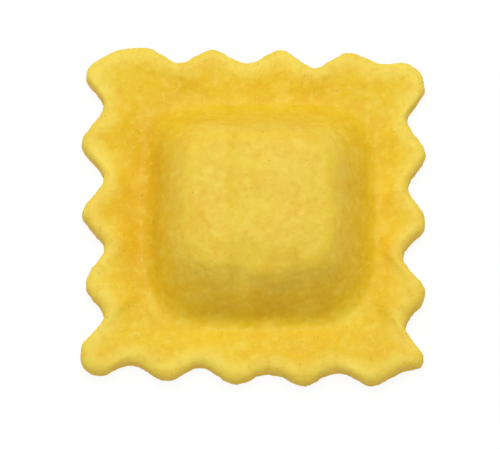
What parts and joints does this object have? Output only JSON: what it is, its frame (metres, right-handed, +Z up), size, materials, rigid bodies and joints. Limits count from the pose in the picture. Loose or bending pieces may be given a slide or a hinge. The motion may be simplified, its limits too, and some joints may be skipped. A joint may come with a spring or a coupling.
{
  "type": "square filled pasta (ravioli)",
  "caption": "Square ravioli: a pillow of filling sealed between two sheets of egg pasta, with a flat pressed rim and a fluted cut edge.",
  "frame": {"origin": "middle of the flat underside, on the table", "axes": "+Z up through the pillow's crown, +X towards the right-hand edge and +Y towards the back edge as the picture shows them"},
  "size_m": [0.0398, 0.04, 0.0083],
  "materials": {
    "egg_dough": "matte"
  },
  "bodies": {
    "root": {"filled_pasta_square": "egg_dough"}
  },
  "joints": []
}
